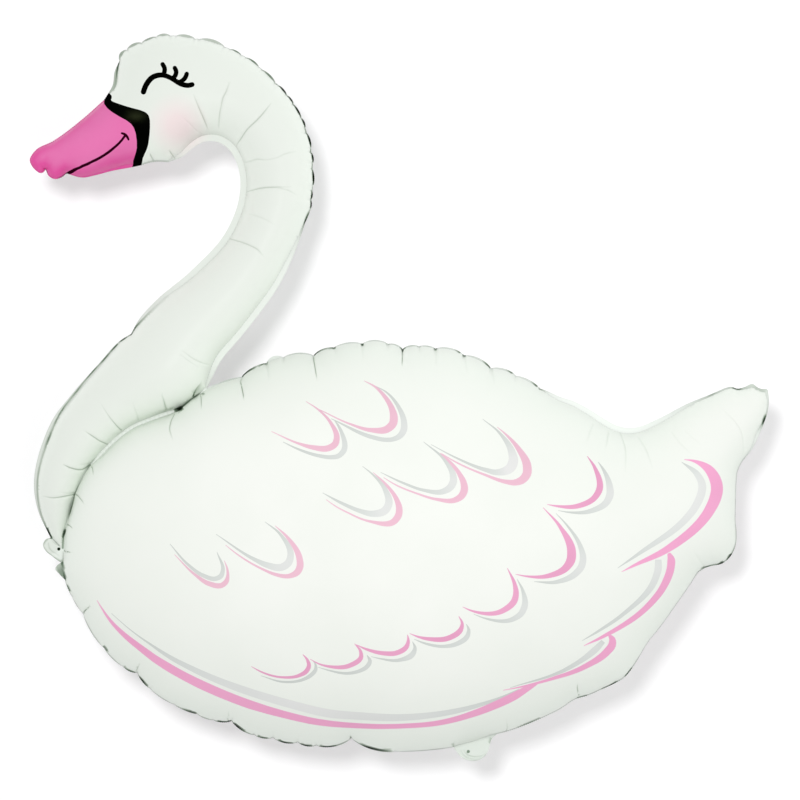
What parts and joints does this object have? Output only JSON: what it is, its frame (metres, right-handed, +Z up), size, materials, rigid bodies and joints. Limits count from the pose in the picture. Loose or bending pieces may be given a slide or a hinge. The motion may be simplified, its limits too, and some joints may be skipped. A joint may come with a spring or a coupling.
{
  "type": "swan foil balloon",
  "caption": "Swan-shaped foil balloon, blown up and lying flat: an S-curved neck and head welded to a pillow-like body with a raised tail, in glossy white printed film.",
  "frame": {"origin": "middle of the bounding box, on the surface that the balloon lies on", "axes": "+X from the bill towards the tail, +Y from the belly towards the head, +Z up through the balloon's thickness, out of its front film"},
  "size_m": [0.9588, 0.9416, 0.3438],
  "materials": {
    "front_foil": "glossy white metallised film, printed pink, grey and black",
    "back_foil": "glossy white metallised film, with a plainer print"
  },
  "bodies": {
    "root": {"front_film": "front_foil", "back_film": "back_foil"}
  },
  "joints": []
}
